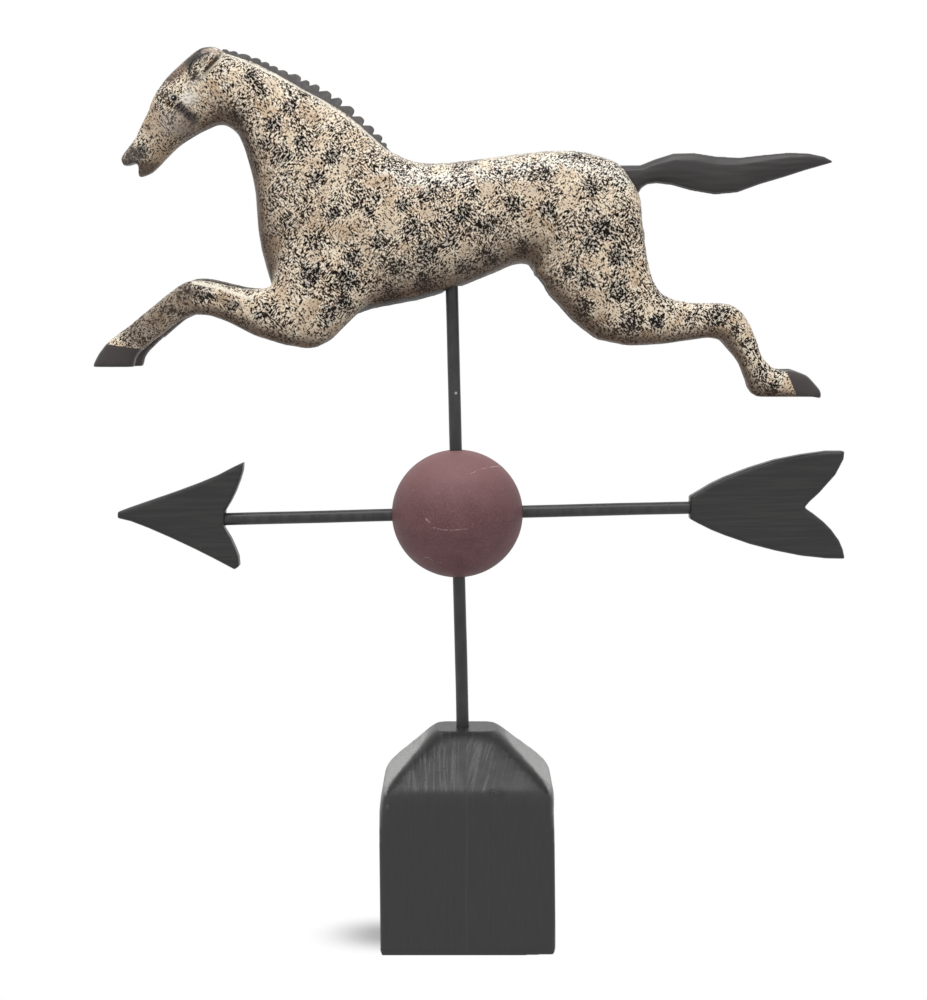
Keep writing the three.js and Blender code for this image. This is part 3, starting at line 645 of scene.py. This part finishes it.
# Touches of the rasp, each at a place seen from the side: x, z and reach, how far right
# and up it takes the surface, and whether both sides or only the far one is worked
both, far = False, True
for x, z, reach, right, up, far_only in (
        (100, 348, 30, -1.3, 0, both), (70, 396, 36, 0, 0.7, both),
        (54, 322, 15, 0, 1.0, both), (27, 342, 15, 0, 1.3, both),
        (36.5, 337.5, 8, -1.1, 0, both), (35.2, 339.4, 5, -0.9, -1.0, both),
        (133, 311, 22, 0, 0.8, both), (141, 318, 22, 0.7, 0.7, far),
        (171, 287, 13, 0.4, 1.0, both), (148, 294, 46, 2.6, 0.4, far),
        (136, 297, 12, -1.3, -0.3, both), (140, 285, 12, -2.1, 0, both),
        (144, 276, 8, -1.4, 0, both), (179, 273, 6, 0.8, -1.2, both),
        (-128, 333, 36, -0.5, 1.6, far), (-156, 320, 20, -0.7, 0.6, far),
        (-162, 292, 12, 1.6, 0, far), (-57, 413, 32, 1.4, 2.0, both),
        (-165, 389, 5, 0.7, 0, both), (-166, 396.5, 5, 0, 0.5, both),
        (-163.6, 393.6, 3.5, 1.6, 0.1, both)):
    for corner in horse.verts:
        away = math.hypot(corner.co.x - x * MM, corner.co.z - z * MM) / (reach * MM)
        if away < 1:
            share = (1 - away * away) ** 2
            if far_only:
                share *= min(1.0, max(0.0, corner.co.y / (4 * MM)))
            corner.co += Vector((right, 0, up)) * MM * share

# The turn of the body without its details is kept with the mesh, for the glaze and painted shade
# underneath and the painted light on top
rounded = horse.copy()
rub(rounded, 60)
rounded.normal_update()
rounded.verts.ensure_lookup_table()
roundness = horse.verts.layers.float_vector.new("roundness")
for number, corner in enumerate(horse.verts):
    corner[roundness] = rounded.verts[number].normal
rounded.free()


def distance_to_line(point, start, end):
    """How far a point is from the stretch between two others"""
    run = end - start
    share = min(1.0, max(0.0, (point - start).dot(run) / run.length_squared))
    return (point - start - run * share).length


def pressed(shape, line, depth, width):
    """Cuts a shallow groove along a line, seen from the side, into both sides of the head"""
    points = [Vector((x, 0, z)) * MM for x, z in line]
    for corner in shape.verts:
        if corner.co.x > -105 * MM or corner.co.z < 380 * MM or abs(corner.co.y) < 3 * MM:
            continue
        flat = Vector((corner.co.x, 0, corner.co.z))
        gap = min(distance_to_line(flat, start, end) for start, end in zip(points, points[1:]))
        if gap < width * MM:
            corner.co -= corner.normal * depth * MM * (1 - (gap / (width * MM)) ** 2) ** 2


# The ears: a groove before and behind each, and three fine cuts between them
ear_front = [(-139.8, 435.4), (-139.3, 440.7), (-136.8, 444.8), (-132.4, 448.5), (-127.5, 450.4)]
ear_back = [(-131.0, 436.6), (-128.6, 439.7), (-125.2, 443.4), (-122.6, 446.9), (-121.6, 449.8)]
pressed(horse, ear_front, 0.7, 1.3)
pressed(horse, ear_back, 1.1, 1.6)
for lift in (0, 1.3, 2.6):
    cut = [(-133.6 + lift, 446.0 + lift / 2), (-128.0 + lift, 447.3 + lift / 2)]
    pressed(horse, cut, 0.35, 0.6)
rub(horse, 1, [corner for corner in horse.verts
               if corner.co.x < -112 * MM and corner.co.z > 430 * MM])

dapple, tree, surface, place = new_paint("sponged_dapple_paint", 0.38, gloss=0.12)
spot = place.outputs["Object"]
across, deep, high = parts_of(tree, spot)
flat_spot = point_sum(tree, "MULTIPLY", spot, (1, 0, 1))
body_turn = tree.nodes.new("ShaderNodeAttribute")
body_turn.attribute_name = "roundness"
turned_down = point_sum(tree, "DOT_PRODUCT", body_turn.outputs["Vector"], (-0.5, 0, -0.87))
# Painted shade with the tan glaze: darker where the smoothed body turns down
shade_and_glaze_below = fade(tree, turned_down, -0.08, 0.60)
turned_up = point_sum(tree, "DOT_PRODUCT", body_turn.outputs["Vector"], (0.1, 0, 1))
# Painted light: paler where the smoothed body faces up
lit_top = fade(tree, turned_up, 0.25, 0.85)

# Dark spots, bare places and the painted highlight band along the back, at x and z with a reach
shift = cloud(tree, spot, (150, 150, 150), detail=2.0)
spots = None
for x, z, reach in (
        (-103, 428, 6), (-108, 437, 4), (-121, 430, 4), (-88, 421, 5), (-115, 417, 4),
        (-97, 411, 6), (-84, 404, 4), (-92, 396, 7), (-101, 402, 5), (-89, 363, 6),
        (-76, 353, 7), (-67, 367, 5), (-49, 367, 4), (-44, 353, 6), (-26, 360, 8),
        (-21, 376, 5), (-56, 344, 6), (-35, 339, 6), (-79, 336, 7), (-21, 347, 8),
        (-22, 332, 7), (-38, 325, 7), (-70, 316, 7), (-61, 321, 7), (-32, 371, 5),
        (-67, 394, 6), (-75, 385, 6), (-60, 334, 8), (-7, 352, 6), (10, 361, 6),
        (-2, 367, 6), (2, 377, 4), (25, 371, 7), (40, 368, 6), (28, 350, 6), (62, 381, 6),
        (40, 386, 6), (69, 359, 8), (62, 351, 6), (75, 345, 7), (51, 338, 5), (59, 334, 6),
        (76, 328, 7), (60, 320, 7), (83, 312, 8), (95, 312, 6), (12, 346, 6), (-2, 340, 6),
        (-131, 326, 6), (-149, 319, 5), (142, 301, 6), (113, 314, 6), (154, 279, 5),
        (126, 315, 8), (148, 287, 6), (135, 309, 5), (-117, 320, 5), (-104, 316, 4)):
    away = point_sum(tree, "DISTANCE", flat_spot, (x * MM, 0, z * MM))
    away = times_plus(tree, shift, 5 * MM, away)
    dark_spot = fade(tree, away, (reach + 3) * MM, (reach * 0.45 + 1.5) * MM)
    spots = dark_spot if spots is None else work_out(tree, "MAXIMUM", spots, dark_spot)
pale = None
for x, z, reach in (
        (-76, 345, 5), (48, 348, 6), (-99, 433, 5), (-113, 430, 5), (-61, 392, 7),
        (-18, 367, 5), (11, 379, 5), (32, 379, 5), (-40, 361, 6)):
    bare = near_to(tree, flat_spot, (x, 0, z), reach, softness=0.7)
    pale = bare if pale is None else work_out(tree, "MAXIMUM", pale, bare)
band = [Vector((x, 0, z)) * MM for x, z in (
    (-40, 387), (-13, 385), (2, 386), (27, 391), (55, 395), (79, 386))]
# Painted highlight: a broken white band along the back
back_highlight = times(tree, line_through(tree, flat_spot, 9, band), fade(tree, shift, 0.30, 0.62))

# The bristles' own marks: short strokes in two slants, broken up by tufts
stroke_scale = (1480, 1280, 740)
strokes, cross_strokes = [
    cloud(tree, spot, stroke_scale, detail=0.5, turn=(0, math.radians(slant), 0), distortion=0.8)
    for slant in (38, -42)]
change = fade(tree, cloud(tree, spot, (110, 110, 110), detail=1.0), 0.46, 0.54)
mixed = times_plus(tree, work_out(tree, "SUBTRACT", cross_strokes, strokes), change, strokes)
tufts = cloud(tree, spot, (620, 620, 620), detail=1.5)
bristle = times_plus(tree, tufts, 0.2, times(tree, mixed, 0.8))

# How much paint is dabbed where, then the marks that this amount leaves
patches = cloud(tree, spot, (75, 75, 75), detail=3.0, distortion=0.4)
on_head = times(tree, fade(tree, across, -108 * MM, -130 * MM),
                fade(tree, high, 372 * MM, 392 * MM))
on_legs = fade(tree, high, 334 * MM, 316 * MM)
amount = times_plus(tree, fade(tree, patches, 0.35, 0.64), 0.6, 0.14)
for zone, more in ((spots, 0.8), (lit_top, 0.15), (pale, -0.5), (on_head, -0.1), (on_legs, -0.1)):
    amount = times_plus(tree, zone, more, amount)
dense = fade(tree, amount, 0.35, 1.3)
edge = times_plus(tree, amount, -0.105, 0.58)
brown_rim = fade(tree, bristle, work_out(tree, "SUBTRACT", edge, 0.04), edge)
dabbed = fade(tree, bristle, work_out(tree, "SUBTRACT", edge, 0.01),
              work_out(tree, "ADD", edge, 0.014))
# Pale flecks: partly white paint, partly painted glints, fewer in dense dabs and in the painted
# shade below
pale_edge = times_plus(tree, amount, 0.02, 0.43)
flecks_and_glints = fade(tree, bristle, work_out(tree, "ADD", pale_edge, 0.012),
               work_out(tree, "SUBTRACT", pale_edge, 0.015))
flecks_and_glints = times(tree, flecks_and_glints, fade(tree, amount, 0.1, 0.5))
flecks_and_glints = times(tree, flecks_and_glints, times_plus(tree, dense, -0.4, 1.0))
flecks_and_glints = times(tree, flecks_and_glints, times_plus(tree, shade_and_glaze_below, -0.85, 0.88))

# The coat from the ground up: cream, glazes, painted light on top, the painted highlight on the
# back, painted shade underneath, rim of each dab, the dabs, pale flecks partly painted as glints
glaze = cloud(tree, spot, (90, 90, 90), detail=4.0)
coat = over(tree, fade(tree, glaze, 0.35, 0.68), colour(244, 225, 198), colour(215, 189, 160))
for zone, strength, tone in (
        (pale, 0.6, (224, 207, 186)), (lit_top, 0.5, (250, 240, 221)),
        (back_highlight, 0.9, (255, 252, 244)), (shade_and_glaze_below, 0.92, (102, 86, 75)),
        (dense, 0.7, (92, 84, 81)), (brown_rim, 0.55, (112, 84, 60))):
    coat = over(tree, times(tree, zone, strength), coat, colour(*tone))
dab_tone = fade(tree, cloud(tree, spot, (210, 210, 210), detail=3.0), 0.42, 0.64)
dab = over(tree, dab_tone, colour(4, 3, 3), colour(34, 22, 14))
coat = over(tree, times(tree, dabbed, times_plus(tree, shade_and_glaze_below, -0.25, 1.0)), coat, dab)
coat = over(tree, flecks_and_glints, coat, colour(254, 245, 229))


def side_line(width, *points):
    """A brushed line on the head or leg, seen from the side"""
    return line_through(tree, flat_spot, width, [Vector((x, 0, z)) * MM for x, z in points])


def side_patch(x, z, reach):
    """A dabbed patch on the head, seen from the side"""
    zone = near_to(tree, flat_spot, (x, 0, z), reach, softness=0.8)
    return times(tree, zone, fade(tree, bristle, 0.36, 0.52))


# Marks laid on both sides alike: muzzle, cheek and brow, the rings round the eye, the
# ears with painted shadow in their grooves and a painted highlight behind them, the
# painted highlight along the crest under the mane, and the glaze and the painted
# highlight along the forelegs
for strength, tone, mask in (
        (0.35, (150, 141, 144), side_line(9, (-149, 413), (-143, 412))),
        (0.6, (96, 90, 86), side_line(6, (-171, 396), (-165, 398))),
        (0.9, (80, 74, 70), side_patch(-169, 397, 8)),
        (0.8, (44, 40, 38), side_patch(-163, 398.5, 5)),
        (0.4, (112, 98, 88), side_line(6, (-163, 388), (-158, 391))),
        (0.85, (62, 50, 44), side_patch(-148, 437.5, 6)),
        (0.7, (84, 70, 60), side_patch(-156, 420, 4)),
        (0.85, (40, 37, 43), side_line(4.2, (-144, 420.5), (-137.5, 415))),
        (0.9, (56, 44, 36), side_patch(-152.5, 427.5, 6)),
        (0.4, (216, 206, 194), side_patch(-136.5, 433, 7)),
        (0.65, (236, 230, 220), side_patch(-138.5, 425.0, 6)),
        (0.8, (24, 20, 20), side_patch(-160.5, 411, 3)),
        (0.9, (252, 248, 240), side_line(0.55, (-143.2, 426.4), (-139.4, 427.2))),
        (0.9, (252, 248, 240), side_line(0.55, (-142.4, 424.8), (-138.8, 425.8))),
        (0.8, (252, 248, 240), side_line(0.6, (-141.0, 422.6), (-138.6, 424.0))),
        (0.7, (112, 92, 80), side_line(5, (-149, 436), (-143, 441))),
        (0.95, (60, 58, 58), side_line(5.5, (-139.5, 443.5), (-136.5, 446), (-133, 448.5))),
        (0.9, (48, 42, 44), side_patch(-137.5, 436.5, 5)),
        (0.7, (205, 188, 172), side_line(2.6, (-132, 449), (-128, 449.5), (-126, 448))),
        (0.7, (60, 52, 50), side_patch(-131.5, 443.5, 4.5)),
        # Painted shadow in the groove before the ear
        (0.95, (14, 12, 12), side_line(
            1.0, (-139.6, 437.4), (-139.1, 441), (-137.6, 444), (-134.5, 445.5))),
        (0.95, (10, 9, 9), side_line(1.0, (-134.5, 445.5), (-132, 447.5), (-130, 448))),
        (0.8, (44, 40, 40), side_line(1.6, (-136, 449.5), (-131, 452), (-126, 452.4))),
        (0.7, (92, 76, 66), side_line(0.5, (-133, 449.0), (-128.5, 449.2))),
        # Painted shade in the crease behind the ear
        (0.9, (56, 36, 28), side_line(
            2.0, (-125.6, 445.2), (-127, 443.2), (-129, 441.0), (-130.3, 439.4))),
        # Painted highlight on the crest behind the ear
        (0.8, (236, 226, 208), side_line(
            0.9, (-122.9, 448.5), (-123.9, 445), (-126.4, 442), (-129.5, 438.9), (-132, 435.9))),
        # Painted highlight along the crest of the neck, under the mane
        (0.6, (252, 246, 234), side_line(
            1.0, (-122.4, 448.6), (-97.7, 437.8), (-84.2, 430.4), (-74.1, 425.2),
            (-56.2, 412.5), (-38.5, 398.6))),
        (0.66, (80, 66, 58), side_line(11, (-166, 307), (-150, 321), (-141, 327))),
        # Painted highlight along the top of the foreleg
        (0.8, (246, 238, 220), side_line(1.5, (-137, 332.5), (-123, 329.5), (-108, 324))),
        (0.5, (50, 42, 38), side_line(2.6, (-139.6, 327.8), (-127, 325.3), (-114, 320.7))),
        (0.6, (232, 224, 212), near_to(tree, flat_spot, (-147.2, 0, 425.3), 2.5, softness=0.25))):
    coat = over(tree, times(tree, mask, strength), coat, colour(*tone))

# Shade between the paired legs and on the far foreleg, then the hooves
inner = fade(tree, work_out(tree, "ABSOLUTE", deep), 9.5 * MM, 7.0 * MM)
inner = times(tree, inner, fade(tree, high, 342 * MM, 328 * MM))
coat = over(tree, times(tree, inner, 0.85), coat, colour(40, 35, 32))
far_leg = times(tree, fade(tree, deep, 3 * MM, 5 * MM), fade(tree, deep, 16 * MM, 13 * MM))
far_leg = times(tree, far_leg, fade(tree, high, 346 * MM, 340 * MM))
far_leg = times(tree, far_leg, fade(tree, across, -92 * MM, -100 * MM))
coat = over(tree, times(tree, far_leg, 0.75), coat, colour(58, 52, 49))
wander = cloud(tree, spot, (160, 160, 160), detail=2.0)


def beyond(normal_x, normal_z, distance):
    """1 on the far side of a line across the leg, with a hand-painted edge"""
    total = times_plus(tree, high, normal_z, times(tree, across, normal_x))
    total = times_plus(tree, wander, 1.2 * MM, total)
    return fade(tree, total, (distance - 0.15) * MM, (distance + 0.15) * MM)


fore_hoof = times(tree, beyond(-0.147, -0.989, -271.0), fade(tree, across, -152 * MM, -154 * MM))
hind_hoof = times(tree, beyond(0.919, 0.393, 261.1), fade(tree, high, 300 * MM, 298 * MM))
hooves = work_out(tree, "MAXIMUM", fore_hoof, hind_hoof)
coat = over(tree, hooves, coat, colour(77, 72, 71))
tree.links.new(coat, surface.inputs["Base Color"])
carving = cloud(tree, spot, (60, 60, 60), detail=3.0)
relief = times_plus(tree, dabbed, 0.25, times(tree, carving, 1.4))
relief = times_plus(tree, bristle, 0.3, relief)
relief = times(tree, relief, work_out(tree, "SUBTRACT", 1.0, hooves))
raise_surface(tree, surface, relief, 0.3 * MM, 0.8)
tree.links.new(times_plus(tree, dabbed, 0.12, 0.32), surface.inputs["Roughness"])
head_surface = BVHTree.FromBMesh(horse)
make_piece("carved_horse", horse, dapple, "vane", "horse_body")


# Mane: a thin strip of wood with rounded saw teeth, let into a kerf down the crest of
# the neck and painted black.
mane_black, tree, surface, place = new_paint("black_mane_paint", 0.5, gloss=0.4)
turned_aside = work_out(tree, "ABSOLUTE", parts_of(tree, place.outputs["Normal"])[1])
strokes = cloud(tree, place.outputs["Object"], (500, 500, 500), detail=4.0)
tone = over(tree, fade(tree, strokes, 0.3, 0.7), colour(96, 94, 94), colour(116, 114, 113))
tone = over(tree, fade(tree, turned_aside, 0.55, 0.95), colour(24, 23, 23), tone)
tree.links.new(tone, surface.inputs["Base Color"])
raise_surface(tree, surface, strokes, 0.12 * MM, 0.7)
comb = copied("mane_strip", 0.3 * MM)
rub(comb, 2)
make_piece("mane_comb", comb, mane_black, "vane", "mane_strip")


# Eyes: glossy black tacks with a domed head, one driven into each side of the head, each
# with a small white dot painted on as the lamp's glint, a painted highlight.
eye_radius = 1.55 * MM
stem_radius = 0.45 * MM
stem_length = 5.5 * MM
stem_end = 6.2 * MM
eye_black, tree, surface, place = new_paint("glossy_eye_black", 0.06, gloss=0.22)
spot = place.outputs["Object"]
depth = cloud(tree, spot, (900, 900, 900), detail=2.0)
seen_flat = point_sum(tree, "MULTIPLY", spot, (1, 0, 1))
# Painted highlight: a small white dot on the bead stands for its glint
dot = near_to(tree, seen_flat, (-147.2, 0, 425.2), 0.42, softness=0.5)
eye_tone = over(tree, depth, colour(2, 2, 3), colour(9, 8, 8))
tree.links.new(over(tree, dot, eye_tone, grey(250)), surface.inputs["Base Color"])
for piece_name, node, side in (("near_bead", "near_eye", -1), ("far_bead", "far_eye", 1)):
    low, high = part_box(node)
    middle = (Vector(low) + Vector(high)) / 2 + Vector((0.4, 0, -0.7)) * MM
    outside = Vector((middle.x, side * 30 * MM, middle.z))
    skin = head_surface.ray_cast(outside, Vector((0, -side, 0)))[0]
    bead = bmesh.new()
    bmesh.ops.create_uvsphere(bead, u_segments=40, v_segments=24, radius=eye_radius)
    bmesh.ops.scale(bead, vec=(1, 1, 0.8), verts=bead.verts)
    stem = round_bar(stem_radius, stem_length, 16, Matrix.Translation((0, 0, -stem_end)))
    stem_mesh = bpy.data.meshes.new("stem")
    stem.to_mesh(stem_mesh)
    stem.free()
    bead.from_mesh(stem_mesh)
    bpy.data.meshes.remove(stem_mesh)
    seat = Matrix.Translation(skin) @ Matrix.Rotation(-side * math.pi / 2, 4, "X")
    bmesh.ops.transform(bead, matrix=seat, verts=bead.verts)
    make_piece(piece_name, bead, eye_black, "vane", node)


# Tail: a carved wooden blade, flat at its root, held to the rump by a hidden dowel and
# painted black like the mane.
tail_black, tree, surface, place = new_paint("black_tail_paint", 0.45, gloss=0.4)
spot = place.outputs["Object"]
tail_grain = cloud(tree, spot, (26, 380, 480), detail=4.0)
tail_fine = cloud(tree, spot, (800, 800, 800), detail=3.0)
tone = over(tree, fade(tree, tail_grain, 0.3, 0.72), colour(46, 43, 43), colour(62, 59, 58))
tree.links.new(tone, surface.inputs["Base Color"])
relief = times_plus(tree, tail_fine, 0.25, tail_grain)
raise_surface(tree, surface, relief, 0.15 * MM, 0.7)
blade = copied("horse_tail", 0.5 * MM)
rub(blade, 4)
make_piece("tail_blade", blade, tail_black, "vane", "horse_tail")

dowel_wood, tree, surface, place = new_paint("bare_dowel_wood", 0.6)
dowel_grain = cloud(tree, place.outputs["Object"], (60, 900, 900), detail=3.0)
tone = over(tree, dowel_grain, colour(168, 124, 80), colour(206, 168, 120))
tree.links.new(tone, surface.inputs["Base Color"])
raise_surface(tree, surface, dowel_grain, 0.1 * MM)
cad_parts["tail_peg"].data.materials[0] = dowel_wood


# Studio: a white floor that keeps the soft shadow left of the block, plain light from
# all round and one large soft lamp overhead. The camera stands in front and looks a
# little down.
floor_mesh = bpy.data.meshes.new("floor")
floor_shape = bmesh.new()
bmesh.ops.create_grid(floor_shape, x_segments=1, y_segments=1, size=6)
floor_shape.to_mesh(floor_mesh)
floor_shape.free()
floor = bpy.data.objects.new("floor", floor_mesh)
collection.objects.link(floor)


def seen_rays(tree, path):
    """1 for the rays that show the background: straight, mirrored and through glass"""
    rays = work_out(tree, "MAXIMUM", path.outputs["Is Camera Ray"], path.outputs["Is Glossy Ray"])
    return work_out(tree, "MAXIMUM", rays, path.outputs["Is Transmission Ray"])


floor_white, tree, surface, place = new_paint("white_floor", 0.9, gloss=0.0)
in_shadow = near_to(tree, place.outputs["Object"], (-44, -4, 0), 40, softness=0.9)
path = tree.nodes.new("ShaderNodeLightPath")
floor_tone = over(tree, path.outputs["Is Camera Ray"], (0.6, 0.6, 0.6, 1), (0.76, 0.76, 0.76, 1))
tree.links.new(floor_tone, surface.inputs["Base Color"])
plain_white = tree.nodes.new("ShaderNodeEmission")
blend = tree.nodes.new("ShaderNodeMixShader")
lit_up = times(tree, seen_rays(tree, path), work_out(tree, "SUBTRACT", 1.0, in_shadow))
tree.links.new(lit_up, blend.inputs[0])
tree.links.new(surface.outputs[0], blend.inputs[1])
tree.links.new(plain_white.outputs[0], blend.inputs[2])
tree.links.new(blend.outputs[0], tree.nodes["Material Output"].inputs["Surface"])
floor_mesh.materials.append(floor_white)

world = bpy.data.worlds.new("studio")
world.use_nodes = True
bpy.context.scene.world = world
tree = world.node_tree
light = tree.nodes["Background"]
light.inputs["Color"].default_value = (1, 1, 1, 1)
light.inputs["Strength"].default_value = 0.58
shown = tree.nodes.new("ShaderNodeBackground")
shown.inputs["Color"].default_value = (1, 1, 1, 1)
shown.inputs["Strength"].default_value = 1.0
blend = tree.nodes.new("ShaderNodeMixShader")
tree.links.new(seen_rays(tree, tree.nodes.new("ShaderNodeLightPath")), blend.inputs[0])
tree.links.new(light.outputs[0], blend.inputs[1])
tree.links.new(shown.outputs[0], blend.inputs[2])
tree.links.new(blend.outputs[0], tree.nodes["World Output"].inputs["Surface"])

lamp = bpy.data.lights.new("overhead", "AREA")
lamp.shape = "RECTANGLE"
lamp.size = 1.3
lamp.size_y = 0.8
lamp.energy = 18.6
overhead = bpy.data.objects.new("overhead", lamp)
overhead.location = (-0.1, -0.55, 1.6)
overhead.rotation_euler = (math.radians(-22), 0, 0)
collection.objects.link(overhead)

look_down = math.radians(1.354)
camera_data = bpy.data.cameras.new("camera")
camera_data.sensor_width = 36
camera_data.lens = 80.604
camera_data.shift_y = -0.12
camera = bpy.data.objects.new("camera", camera_data)
camera.location = (-0.00148, -1.1402, 0.3100)
camera.rotation_euler = (math.pi / 2 - look_down, 0, 0)
collection.objects.link(camera)
bpy.context.scene.camera = camera
bpy.context.scene.view_settings.view_transform = "Standard"
